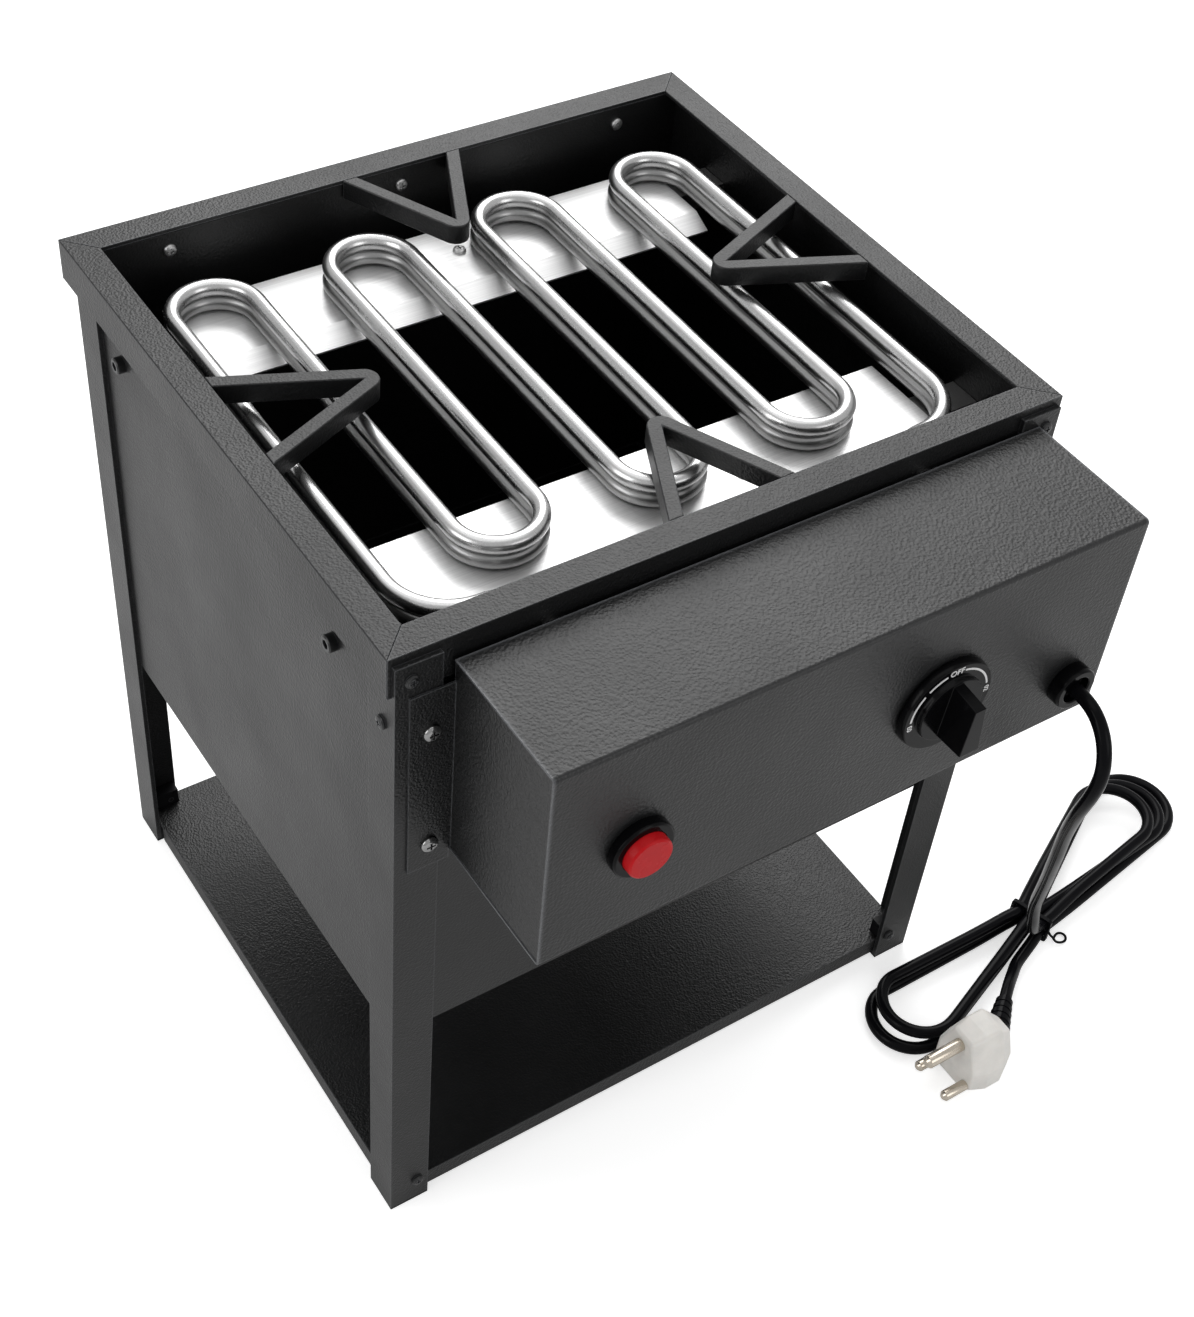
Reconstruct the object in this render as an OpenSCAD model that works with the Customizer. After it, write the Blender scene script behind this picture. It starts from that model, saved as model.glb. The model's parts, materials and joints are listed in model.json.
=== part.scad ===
// Hot plate burner on a tall open stand: a tubular heating element in an angle-steel frame,
// with a front control box, a rotary switch, a push button and a tied mains lead.
// Millimetres. The stand is drawn about the middle of its top frame and then moved back or
// forward, so that the origin is under the middle of the whole appliance, on the floor.

/* [Frame] */
// Width of the top frame, left to right
frame_w = 400; // [370:1:440]
// Depth of the top frame, front to back
frame_d = 360; // [340:1:400]
// Height of the cooking surface above the floor
stand_h = 466; // [440:1:500]
// Width of the rail's top flange
rail_flange = 17; // [15:0.5:20]
// Height of the rail's outer flange
rail_h = 25; // [23:0.5:28]
// Thickness of the rail angle
rail_t = 2.5; // [2:0.1:3]

/* [Legs] */
// Width of each flange of the leg angle
leg_w = 25; // [23:0.5:28]
// Thickness of the leg angle
leg_t = 3; // [2:0.1:3.5]
// How far the leg stops below the cooking surface
leg_drop = 5; // [4:0.5:8]
// How far the rear legs stand in from the back of the frame
rear_inset = 12; // [10:0.5:16]
// Thickness of the foot's sole
sole_t = 2; // [1.5:0.1:4]

/* [Body panels] */
// Thickness of the sheet metal
sheet_t = 1.2; // [1:0.1:1.5]
// Height of the panels' lower edge above the floor
skirt_z = 171; // [150:1:200]
// Height of the turned-up edges of the floor pan
pan_lip = 15; // [8:1:25]
// Width of the lip at the foot of the back panel
back_lip = 8; // [5:0.5:8.2]

/* [Shelf] */
// Height of the shelf's top face
shelf_z = 16; // [14:0.5:30]
// Depth of the shelf's turned-down edges
shelf_lip = 13; // [8:0.5:13.5]

/* [Pan supports] */
// Width of the support bar
bar_w = 8; // [6:0.5:10]
// Depth of the support bar
bar_h = 12; // [9:0.5:14]
// Half the spread of a support where it meets its rail
bar_spread = 38; // [32:1:46]
// How far the side supports reach in
side_reach = 78; // [66:1:84]
// How far the front and rear supports reach in
end_reach = 69; // [58:1:74]

/* [Heating element] */
// Diameter of the heating tube
tube_d = 9.5; // [8:0.1:10]
// Distance between neighbouring straights
tube_pitch = 47.5; // [46:0.1:48]
// Depth of the upper tube's centre line below the cooking surface
tube_drop = 21; // [20:0.5:23]
// Rear bends: distance of their centres behind the middle
bend_rear = 109; // [100:1:120]
// Front bends: distance of their centres before the middle
bend_front = 98; // [90:1:104]
// Radius of the outer straights' first front turn
turn_r1 = 34; // [32:0.5:35]
// Radius of the second turn, towards the control box
turn_r2 = 20; // [18:0.5:22]
// Half the width of the steel plates that carry the element
plate_x = 160; // [156:0.5:161]
// Inner edge of the rear plate, behind the middle
plate_rear_y = 90; // [84:1:100]
// Inner edge of the front plate, before the middle
plate_front_y = 79; // [74:1:84]
// Depth of the rear plate's flat
plate_rear_d = 52; // [44:1:60]
// Depth of the front plate's flat
plate_front_d = 68; // [60:1:80]
// Depth of the turned-down sides of the plates
plate_rim = 5; // [3:0.1:6]
// Place of the rear cross bar, behind the middle
cross_rear_y = 118; // [104:1:124]
// Place of the front cross bar, before the middle
cross_front_y = 120; // [112:1:124]
// Width of a cross bar
cross_w = 20; // [16:0.5:24]
// Depth of a cross bar
cross_h = 12; // [8:0.5:16]

/* [Control box] */
// How far the box's left end stands in from the frame's side
box_inset_left = 33; // [32:0.5:40]
// How far the box's right end stands in from the frame's side
box_inset_right = 16; // [16:0.5:22]
// Depth of the box, front to back
box_d = 83.5; // [76:0.5:95]
// Height of the box
box_h = 132.4; // [124:0.1:140]
// How far the box's lid lies below the cooking surface
box_drop = 12; // [11:0.5:14]
// Outer radius of the box's folded edges
fold_r = 2.4; // [1.8:0.1:3.5]
// How far the mounting flanges end below the box's lid
flange_drop = 14; // [14:0.5:20]
// How far the mounting flanges reach below the box
flange_below = 5.6; // [4:0.1:15]
// Distance of the box's upper screws from the upper end of the mounting flanges
box_screw_top = 27; // [15:0.5:40]
// Distance of the box's lower screws from the lower end of the mounting flanges
box_screw_low = 17; // [10:0.5:30]

/* [Rotary switch] */
// Switch axis, to the right of the middle
knob_x = 65; // [50:0.5:80]
// Switch axis, below the box's lid
knob_drop = 68.5; // [58:0.5:80]
// Diameter of the knob's skirt
knob_d = 56.6; // [50:0.1:60]
// Thickness of the knob's skirt
skirt_t = 5; // [4.6:0.1:7]
// Diameter of the knob's raised hub
hub_d = 40; // [34:0.5:42]
// Distance of the grip's face from the panel
knob_len = 26; // [22:0.5:32]
// Diameter of the switch shaft
shaft_d = 6; // [5:0.1:7]

/* [Push button] */
// Button axis, in from the box's left end
button_in = 50.6; // [42:0.1:62]
// Button axis, below the box's lid
button_drop = 71.2; // [60:0.1:80]
// Diameter of the button's bezel
bezel_d = 34.5; // [32.5:0.1:37]
// How far the bezel stands out of the panel
bezel_t = 6; // [5:0.1:8]
// Diameter of the red cap
cap_d = 24.6; // [22:0.1:25.5]
// How far the cap stands out of the bezel
cap_out = 5.5; // [5:0.1:7]
// Travel of the cap
cap_travel = 4; // [2:0.1:4.5]

/* [Lead] */
// Diameter of the mains lead
cord_d = 8.3; // [7:0.1:9]
// Gland axis, in from the box's right end
gland_in = 24.5; // [20:0.5:30]
// Gland axis, above the underside of the box
gland_rise = 30; // [22:0.5:34]
// Diameter of the gland's collar
gland_d = 26; // [22:0.5:28]
// How far the gland's collar stands out of the panel
gland_len = 8.5; // [6:0.5:12]
// Diameter of the plug's earth pin
earth_pin_d = 8.7; // [8:0.01:9]
// Length of the plug's earth pin
earth_pin_l = 28.6; // [27:0.1:30]
// Diameter of the plug's other pins
line_pin_d = 7.06; // [6.5:0.01:7.5]
// Length of the plug's other pins
line_pin_l = 18.6; // [17:0.1:20]

/* [Hidden] */
$fn = 48;

// Small clearance between sheets that lie side by side
gap = 0.3;
// Depth of a cut that has to pass right through
thru = 50;

// Frame, measured from the middle of the top frame
x_out = frame_w / 2;
y_out = frame_d / 2;
rail_low = stand_h - rail_h;
rail_in_x = x_out - rail_flange;
rail_in_y = y_out - rail_flange;
wall_x = x_out - rail_t;
wall_y = y_out - rail_t;

// Legs: their side flanges lie inside the side rails, their front flanges before the front rail
leg_top = stand_h - leg_drop;
leg_front_y = -(y_out + leg_t);
leg_rear_y = y_out - rear_inset;

// Panels
panel_x = wall_x - leg_t;
panel_top = stand_h - rail_t - 1;
panel_in_x = panel_x - sheet_t;
panel_y0 = -wall_y + gap;
panel_y1 = leg_rear_y - leg_t - gap;
front_in_y = -(wall_y - sheet_t);
back_out_y = leg_rear_y - leg_t;
back_in_y = back_out_y - sheet_t;

// Heating element
tube_r = tube_d / 2;
upper_z = stand_h - tube_drop;
lower_z = upper_z - tube_d;
bend_r = tube_pitch / 2;
first_x = 3.5 * tube_pitch;
turn_y = -(bend_front + 18);
run_y = turn_y - turn_r1;
exit_x = first_x - turn_r1 - turn_r2;
tube_end_y = -(y_out + 22);
slot_w = tube_d + 2;
slot_z0 = lower_z - tube_r - 1;
slot_z1 = upper_z + tube_r + 0.75;

// Plates and their cross bars
tube_rest = 0.25;
plate_top = lower_z - tube_r - tube_rest;
plate_low = plate_top - sheet_t;
cross_low = plate_low - cross_h;
cross_screw_z = plate_low - cross_h / 2;
lip_run = 13;
lip_fall = 6;

// Control box
box_left = x_out - box_inset_left;
box_right = x_out - box_inset_right;
box_top = stand_h - box_drop;
box_low = box_top - box_h;
box_back_y = leg_front_y;
box_front_y = box_back_y - box_d;
flange_z1 = box_top - flange_drop;
flange_z0 = box_low - flange_below;
flange_edge = 9.5;
flange_edge_right = 3;
flange_w = box_inset_left - flange_edge;
flange_right_w = box_inset_right - flange_edge_right;
box_screw_z = [flange_z1 - box_screw_top, flange_z0 + box_screw_low];
box_screw_x = [-(box_left + flange_w / 2), box_right + flange_right_w / 2];
knob_z = box_top - knob_drop;
button_z = box_top - button_drop;
gland_z = box_low + gland_rise;
gland_x = box_right - gland_in;
button_x = box_left - button_in;

// Screws: heads, shanks and the holes they pass through
m4_r = 2;
m4_hole = 2.2;
m5_r = 2.5;
corner_x = x_out - 11;
corner_z = stand_h - 15;
side_screw_y = 8.5;
side_screw_drop = 48;
side_screw_z = stand_h - side_screw_drop;
foot_screw_x = x_out - 20;
foot_screw_z = 20;
back_screw_x = [-144, 0, 149];
back_screw_z = stand_h - 14;
boss_w = 12;
nut_t = 3.2;

// Feet
foot_in = leg_w - leg_t;
post_x = 20;
post_y = 9;
post_top = foot_screw_z + 8;

// Switch and knob, with distances measured forwards from the box's front face
switch_hole_r = 5.2;
switch_size = 42;
switch_depth = 32;
switch_screw_dx = 14;
skirt_lift = 0.8;
shaft_gap = 0.05;
knob_front = knob_len;

// Push button
barrel_d = 27.8;
barrel_hole_r = barrel_d / 2 + 0.15;
barrel_back = 18;
cap_back = 12;
cap_gap = 0.08;
stem_d = 8;
collar_d = 12;
contact_cavity_d = 14;
contact_len = 26;
tab_len = 8;

// Gland
gland_thread_d = 16;
gland_bore_d = cord_d + 0.2;
gland_back = 15;
gland_wall = 4.6;
gland_recess = 5.5;
gland_mouth_y = box_front_y - gland_len;

// Plug, lying on the floor in front of the right leg
plug_x0 = 152.5;
plug_y = -284;
plug_len = 37.5;
plug_h = 52;
plug_w = 40;
pin_low_z = 13.4;
pin_rise = 28.6;
pin_half = 12.7;
relief_at = [190, -281, 25];
relief_dir = [0.79, 0.6, -0.13];
relief_len = 30;

// Tied hank of lead on the floor: its waist, the direction of its long axis and its two ends
hank_waist = [279, -217];
hank_turn = 17.8;
hank_h = 26;
hank_far = [414, -174];
hank_far_r = 33;
hank_near = [160, -234];
hank_near_r = 29.5;
waist_r = 13;
tie_t = 2.2;
tie_w = 2.6;
bundle_h = 16.6;

// Route of the free lead, from the gland down to the hank's waist
lead_route = [
    [159.5, -275, 351.6], [159.5, -279, 351.6], [159.2, -286.3, 350.8], [158.2, -294.3, 347.8],
    [156.8, -301.6, 342.5], [155.2, -307, 335.4], [153.9, -310.4, 327], [153.2, -311.3, 318],
    [153.6, -309.8, 307], [155.6, -306.4, 294.5], [159.4, -301.8, 280.5], [164.6, -297, 266],
    [170.3, -292.2, 251], [176.5, -287.5, 235], [183, -283, 218], [189.5, -278.5, 200],
    [196.5, -273.5, 182], [204, -268.3, 164], [211.5, -263, 146], [219, -257.5, 128],
    [226.5, -252, 110], [234, -246.6, 92], [241, -243, 73], [248, -240.5, 55],
    [256, -236.8, 39.5], [264.5, -231.8, 28], [273.5, -228, 19]
];
// Route of the lead's last stretch, from the hank's waist to the plug
tail_route = [
    [270, -226, 4.5], [261, -231.5, 4.3], [251, -237.5, 5.2], [241, -244, 9],
    [231, -250.5, 14.6], [222, -256.8, 19], [213.7, -263, 21.1]
];

// Moves the stand's own middle to its place over the origin
depth_front = -(box_front_y - knob_front);
centre_y = (depth_front - y_out) / 2;
module stand_frame() {
    translate([0, centre_y, 0]) children();
}
// The lead, its hank and its plug lie where the gland puts them, to the left or right
module lead_frame() {
    stand_frame() translate([gland_x - lead_route[0][0], 0, 0]) children();
}

// ---- helpers ----

// A box given by its lowest and highest corners
module block(a, b) {
    translate(a) cube([b[0] - a[0], b[1] - a[1], b[2] - a[2]]);
}

// Both mirror images about the middle plane x = 0
module both_sides() {
    children();
    mirror([1, 0, 0]) children();
}

// A round bar along Y from y0 to y1
module bar_y(x, z, y0, y1, r) {
    translate([x, y0, z]) rotate([-90, 0, 0]) cylinder(r = r, h = y1 - y0);
}

// A round bar along X from x0 to x1
module bar_x(y, z, x0, x1, r) {
    translate([x0, y, z]) rotate([0, 90, 0]) cylinder(r = r, h = x1 - x0);
}

// A rectangle with rounded corners, its middle at the origin
module rounded_rect(w, h, r) {
    square([w - 2 * r, h], center = true);
    square([w, h - 2 * r], center = true);
    for (x = [-1, 1], y = [-1, 1]) {
        translate([x * (w / 2 - r), y * (h / 2 - r)]) circle(r = r);
    }
}

// A domed pan head with a cross recess, its seat at z = 0 and its shank going down
module pan_screw(r, length) {
    head_r = 1.9 * r;
    head_h = 1.15 * r;
    difference() {
        rotate_extrude() polygon([
            [0, 0], [head_r, 0], [head_r, head_h * 0.45], [head_r * 0.86, head_h * 0.8],
            [head_r * 0.5, head_h], [0, head_h]
        ]);
        for (a = [0, 90]) {
            rotate([0, 0, a]) translate([-r, -r * 0.22, head_h * 0.4]) cube([2 * r, r * 0.44, head_h]);
        }
    }
    translate([0, 0, -length]) cylinder(r = r, h = length);
}

// A tall round head with a hexagon socket, its seat at z = 0 and its shank going down
module cap_screw(r, length) {
    head_r = 2.35 * r;
    head_h = 2.5 * r;
    difference() {
        rotate_extrude() polygon([
            [0, 0], [head_r, 0], [head_r, head_h - 0.7], [head_r - 0.7, head_h], [0, head_h]
        ]);
        translate([0, 0, head_h * 0.45]) cylinder(r = head_r * 0.58, h = head_h, $fn = 6);
    }
    translate([0, 0, -length]) cylinder(r = r, h = length);
}

// A hexagon nut on the z axis with its seat at z = 0
module hex_nut(r, thick) {
    difference() {
        cylinder(r = r * 2, h = thick, $fn = 6);
        translate([0, 0, -1]) cylinder(r = r, h = thick + 2, $fn = 48);
    }
}

// Turns the z axis to face the front, the back, the left or the right
module face_front() { rotate([90, 0, 0]) children(); }
module face_back() { rotate([-90, 0, 0]) children(); }
module face_left() { rotate([0, -90, 0]) children(); }
module face_right() { rotate([0, 90, 0]) children(); }

// A tube swept along points, with a flat cap at each end
function unit(v) = v / norm(v);
function heading(p, i) = unit(p[min(i + 1, len(p) - 1)] - p[max(i - 1, 0)]);
function level(u, t) = unit(u - (u * t) * t);
function first_side(t) = unit(cross(t, [0.36, 0.48, 0.8]));
// The sideways direction at every point, carried along the route without twisting
function sides_of(p) = [for (i = 0, u = first_side(heading(p, 0)); i < len(p);
    i = i + 1, u = level(u, heading(p, min(i, len(p) - 1)))) u];
function ring_point(c, t, u, a, r) = c + r * (cos(a) * u + sin(a) * cross(t, u));
// Points that round off every corner of a route
function mixed(a, b, k) = a + (b - a) * k;
function soften(p) = [
    p[0],
    for (i = [1:len(p) - 2]) each [mixed(p[i], p[i - 1], 0.25), mixed(p[i], p[i + 1], 0.25)],
    p[len(p) - 1]
];
module swept_tube(p, r, sides) {
    n = len(p);
    u = sides_of(p);
    rings = [for (i = [0:n - 1], k = [0:sides - 1])
        ring_point(p[i], heading(p, i), u[i], 360 * k / sides, r)];
    walls = [for (i = [0:n - 2], k = [0:sides - 1]) let (m = (k + 1) % sides) [
        i * sides + k, (i + 1) * sides + k, (i + 1) * sides + m, i * sides + m]];
    caps = [[for (k = [0:sides - 1]) k], [for (k = [sides - 1:-1:0]) (n - 1) * sides + k]];
    polyhedron(points = rings, faces = concat(caps, walls), convexity = 6);
}

// ---- top frame ----

// One rail of the top frame: w is its outer length, d its outer distance from the middle.
// Its ends are mitred at 45 degrees.
module rail(w, d) {
    translate([0, 0, stand_h - rail_t]) linear_extrude(rail_t) polygon([
        [-w, -d], [w, -d], [w - rail_flange, -d + rail_flange], [-w + rail_flange, -d + rail_flange]
    ]);
    translate([0, 0, rail_low]) linear_extrude(rail_h) polygon([
        [-w, -d], [w, -d], [w - rail_t, -d + rail_t], [-w + rail_t, -d + rail_t]
    ]);
}

module rail_front() {
    color("#3c3d42") stand_frame() difference() {
        rail(x_out, y_out);
        both_sides() {
            block([exit_x - slot_w / 2, -y_out - 1, rail_low - 1],
                [exit_x + slot_w / 2, -wall_y + 1, slot_z1]);
            bar_y(corner_x, corner_z, -y_out - thru, -wall_y + 1, m4_hole);
        }
    }
}

module rail_rear() {
    color("#3c3d42") stand_frame() difference() {
        union() {
            rotate([0, 0, 180]) rail(x_out, y_out);
            // blocks under the top flange that take the back panel's screws
            for (x = back_screw_x) block([x - boss_w / 2, back_out_y, back_screw_z - boss_w / 2],
                [x + boss_w / 2, wall_y + rail_t / 2, stand_h - rail_t / 2]);
        }
        for (x = back_screw_x) bar_y(x, back_screw_z, back_out_y - 1, y_out + 1, m4_r);
    }
}

module rail_left() {
    color("#3c3d42") stand_frame() rotate([0, 0, -90]) rail(y_out, x_out);
}

module rail_right() {
    color("#3c3d42") stand_frame() rotate([0, 0, 90]) rail(y_out, x_out);
}

// ---- pan supports: a V of flat bar with a rounded nose, welded to the rail's inner edge ----

// Drawn with the rail's edge on x = 0 and the nose at x = reach
module pan_support(reach, spread) {
    nose = reach - bar_w;
    slope = atan2(spread, nose) - asin(bar_w / norm([nose, spread]));
    tangent = [nose + bar_w * sin(slope), bar_w * cos(slope)];
    inner = nose * tan(slope);
    translate([0, 0, stand_h - bar_h]) linear_extrude(bar_h) difference() {
        union() {
            polygon([
                [0, spread], [0, -spread], [tangent[0], -tangent[1]], [tangent[0], tangent[1]]
            ]);
            translate([nose, 0]) circle(r = bar_w + 0.01);
        }
        polygon([[-1, inner + tan(slope)], [-1, -inner - tan(slope)], [nose, 0]]);
    }
}

module support_left() {
    color("#34353a") stand_frame() translate([-rail_in_x, 0, 0]) pan_support(side_reach, bar_spread);
}

module support_right() {
    color("#34353a") stand_frame() translate([rail_in_x, 0, 0]) rotate([0, 0, 180])
        pan_support(side_reach, bar_spread);
}

module support_front() {
    color("#34353a") stand_frame() translate([0, -rail_in_y, 0]) rotate([0, 0, 90])
        pan_support(end_reach, bar_spread);
}

module support_rear() {
    color("#34353a") stand_frame() translate([0, rail_in_y, 0]) rotate([0, 0, -90])
        pan_support(end_reach, bar_spread);
}

// ---- legs and feet ----

// A front leg, on the right: the front flange lies before the front rail
module front_leg() {
    difference() {
        union() {
            block([wall_x - leg_w, leg_front_y, sole_t], [wall_x, leg_front_y + leg_t, leg_top]);
            block([wall_x - leg_t, leg_front_y, sole_t], [wall_x, leg_front_y + leg_w, leg_top]);
        }
        // slot over the front rail's outer flange
        block([wall_x - leg_w - 1, -y_out, rail_low - gap], [wall_x + 1, -wall_y + gap, leg_top + 1]);
        bar_y(corner_x, corner_z, leg_front_y - 1, -y_out + 1, m4_hole);
        bar_y(foot_screw_x, foot_screw_z, leg_front_y - 1, -y_out + 1, m4_hole);
        bar_x(-y_out + side_screw_y, side_screw_z, panel_x - 1, wall_x + 1, m4_hole);
    }
}

module leg_front_right() {
    color("#26272b") stand_frame() difference() {
        front_leg();
        for (z = box_screw_z) bar_y(box_screw_x[1], z, leg_front_y - 1, -y_out + 1, m5_r);
    }
}

module leg_front_left() {
    color("#26272b") stand_frame() difference() {
        mirror([1, 0, 0]) front_leg();
        for (z = box_screw_z) bar_y(box_screw_x[0], z, leg_front_y - 1, -y_out + 1, m5_r);
    }
}

// A rear leg, on the right
module rear_leg() {
    difference() {
        union() {
            block([wall_x - leg_w, leg_rear_y - leg_t, sole_t], [wall_x, leg_rear_y, leg_top]);
            block([wall_x - leg_t, leg_rear_y - leg_w, sole_t], [wall_x, leg_rear_y, leg_top]);
        }
        bar_y(foot_screw_x, foot_screw_z, leg_rear_y - leg_t - 1, leg_rear_y + 1, m4_hole);
    }
}

module leg_rear_right() {
    color("#26272b") stand_frame() rear_leg();
}

module leg_rear_left() {
    color("#26272b") stand_frame() mirror([1, 0, 0]) rear_leg();
}

// One foot in the corner x = 0, y = 0 of an angle whose inside lies towards -x and +y:
// a sole under the angle, a block inside it that carries the shelf, and a post for the screw
module foot() {
    block([-foot_in, -leg_t, 0], [leg_t, foot_in, sole_t]);
    block([-foot_in, 0, 0], [0, foot_in, shelf_z - sheet_t]);
    difference() {
        block([-post_x, 0, sole_t], [0, post_y, post_top]);
        bar_y(foot_screw_x - panel_x, foot_screw_z, -1, post_y + 1, m4_r);
    }
}

module feet() {
    color("#161618") stand_frame() both_sides() {
        translate([panel_x, -y_out, 0]) foot();
        translate([panel_x, leg_rear_y - leg_t, 0]) mirror([0, 1, 0]) foot();
    }
}

// ---- body panels ----

// Holes for the screws of a cross bar
module cross_bar_holes() {
    for (y = [cross_rear_y, -cross_front_y]) {
        bar_x(y, cross_screw_z, panel_in_x - 4, panel_x + 1, m4_hole);
    }
}

module side_panel() {
    difference() {
        block([panel_in_x, panel_y0, skirt_z], [panel_x, panel_y1, panel_top]);
        bar_x(-y_out + side_screw_y, side_screw_z, panel_in_x - 1, panel_x + 1, m4_hole);
        cross_bar_holes();
    }
}

module side_panel_right() {
    color("#3c3d42") stand_frame() side_panel();
}

module side_panel_left() {
    color("#3c3d42") stand_frame() mirror([1, 0, 0]) side_panel();
}

back_lip_x = wall_x - leg_w - 1;
module back_panel() {
    color("#303136") stand_frame() difference() {
        union() {
            block([-panel_in_x + gap, back_in_y, skirt_z], [panel_in_x - gap, back_out_y, panel_top]);
            block([-back_lip_x, back_in_y, skirt_z], [back_lip_x, back_out_y + back_lip, skirt_z + sheet_t]);
        }
        for (x = back_screw_x) bar_y(x, back_screw_z, back_in_y - 1, back_out_y + 1, m4_hole);
    }
}

module front_panel() {
    color("#202124") stand_frame() difference() {
        block([-panel_in_x + gap, -wall_y, skirt_z], [panel_in_x - gap, front_in_y, panel_top]);
        both_sides() {
            block([exit_x - slot_w / 2, -wall_y - 1, slot_z0], [exit_x + slot_w / 2, front_in_y + 1, slot_z1]);
            bar_y(corner_x, corner_z, -wall_y - 1, front_in_y + 1, m4_hole);
            for (dx = [-1, 1]) {
                bar_y(exit_x + dx * flange_hole_dx, lower_z + tube_r, -wall_y - 1, front_in_y + 1, m4_r);
            }
        }
    }
}

// Tray that closes the body from below: a flat floor with turned-up edges that lie against
// the panels
module floor_pan() {
    edge_x = panel_in_x - gap;
    low = skirt_z;
    top = skirt_z + pan_lip;
    color("#1a1b1d") stand_frame() {
        block([-edge_x, front_in_y, low], [edge_x, back_in_y, low + sheet_t]);
        block([-edge_x, front_in_y, low], [edge_x, front_in_y + sheet_t, top]);
        block([-edge_x, back_in_y - sheet_t, low], [edge_x, back_in_y, top]);
        both_sides() block([edge_x - sheet_t, front_in_y, low], [edge_x, back_in_y, top]);
    }
}

module shelf() {
    edge_x = panel_x - gap;
    front = -y_out + gap;
    rear = leg_rear_y - leg_t - gap;
    inner_x = wall_x - leg_w - gap;
    inner_y = leg_w + gap;
    low = shelf_z - shelf_lip;
    color("#2a2b2f") stand_frame() {
        difference() {
            block([-edge_x, front, shelf_z - sheet_t], [edge_x, rear, shelf_z]);
            // notches round the posts of the feet
            both_sides() {
                block([panel_x - post_x - gap, -y_out - 1, 0], [x_out, -y_out + post_y + gap, shelf_z + 1]);
                block([panel_x - post_x - gap, leg_rear_y - leg_t - post_y - gap, 0],
                    [x_out, leg_rear_y, shelf_z + 1]);
            }
        }
        block([-inner_x, front, low], [inner_x, front + sheet_t, shelf_z]);
        block([-inner_x, rear - sheet_t, low], [inner_x, rear, shelf_z]);
        both_sides() block([edge_x - sheet_t, front + inner_y, low], [edge_x, rear - inner_y, shelf_z]);
    }
}

// ---- element carriers ----

// An inverted channel across the body, with an upright tab at each end against the side panel
module cross_bar(y) {
    half = panel_in_x - gap;
    difference() {
        union() {
            difference() {
                block([-half, y - cross_w / 2, cross_low], [half, y + cross_w / 2, plate_low]);
                block([-half - 1, y - cross_w / 2 + sheet_t, cross_low - 1],
                    [half + 1, y + cross_w / 2 - sheet_t, plate_low - sheet_t]);
            }
            both_sides() block([half - sheet_t, y - cross_w / 2, cross_low],
                [half, y + cross_w / 2, plate_low]);
        }
        both_sides() bar_x(y, cross_screw_z, half - sheet_t - 1, panel_x + 1, m4_hole);
    }
}

module cross_bar_rear() {
    color("#5a5c60") stand_frame() difference() {
        cross_bar(cross_rear_y);
        for (x = rear_screw_x) plate_screw_hole(x, cross_rear_y, m4_r);
    }
}

module cross_bar_front() {
    color("#5a5c60") stand_frame() difference() {
        cross_bar(-cross_front_y);
        for (x = front_screw_x) plate_screw_hole(x, -cross_front_y, m4_r);
    }
}

// A small screw holds each plate down, between two heating tubes
rear_screw_x = [13];
front_screw_x = [0.9 * tube_pitch];
module plate_screw_hole(x, y, r) {
    translate([x, y, plate_low - 3]) cylinder(r = r, h = 6);
}

// A plate with its inner edge at y0 and its outer edge at y1, both counted outwards, a lip
// that falls by fall over run before the inner edge, and turned-down sides that clear the
// cross bar at bar_at
module element_plate(y0, y1, run, fall, bar_at) {
    rotate([90, 0, 90]) translate([0, 0, -plate_x]) linear_extrude(2 * plate_x) polygon([
        [y0, plate_top], [y1, plate_top], [y1, plate_low], [y0, plate_low],
        [y0 - run, plate_low - fall], [y0 - run, plate_top - fall]
    ]);
    both_sides() {
        block([plate_x - sheet_t, y0 + gap, plate_low - plate_rim],
            [plate_x, bar_at - cross_w / 2 - gap, plate_low + sheet_t / 2]);
        block([plate_x - sheet_t, bar_at + cross_w / 2 + gap, plate_low - plate_rim],
            [plate_x, y1, plate_low + sheet_t / 2]);
    }
}

module plate_rear() {
    color("#d4d6d8") stand_frame() difference() {
        element_plate(plate_rear_y, plate_rear_y + plate_rear_d, lip_run, lip_fall, cross_rear_y);
        for (x = rear_screw_x) plate_screw_hole(x, cross_rear_y, m4_hole);
    }
}

module plate_front() {
    color("#d4d6d8") stand_frame() difference() {
        mirror([0, 1, 0]) element_plate(plate_front_y, plate_front_y + plate_front_d,
            sheet_t, plate_rim, cross_front_y);
        for (x = front_screw_x) plate_screw_hole(x, -cross_front_y, m4_hole);
    }
}

// ---- heating element ----

// A quarter or half bend in a level plane, about [x, y], from angle a0 through angle turn
module bend(x, y, z, r, a0, turn) {
    translate([x, y, z]) rotate([0, 0, a0]) rotate_extrude(angle = turn)
        translate([r, 0]) circle(r = tube_r);
}

// One heating tube: eight straights joined by bends, with both ends led to the control box
module heating_tube(z) {
    for (i = [-3:2:3]) bend(i * tube_pitch, bend_rear, z, bend_r, 0, 180);
    for (i = [-2:2:2]) bend(i * tube_pitch, -bend_front, z, bend_r, 180, 180);
    for (i = [-2.5:1:2.5]) bar_y(i * tube_pitch, z, -bend_front, bend_rear, tube_r);
    both_sides() {
        bar_y(first_x, z, turn_y, bend_rear, tube_r);
        bend(first_x - turn_r1, turn_y, z, turn_r1, 270, 90);
        bend(first_x - turn_r1, run_y - turn_r2, z, turn_r2, 90, 90);
        bar_y(exit_x, z, tube_end_y, run_y - turn_r2, tube_r);
    }
}

module element_upper() {
    color("#c9cbcd") stand_frame() heating_tube(upper_z);
}

module element_lower() {
    color("#b4b6b9") stand_frame() heating_tube(lower_z);
}

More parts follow.
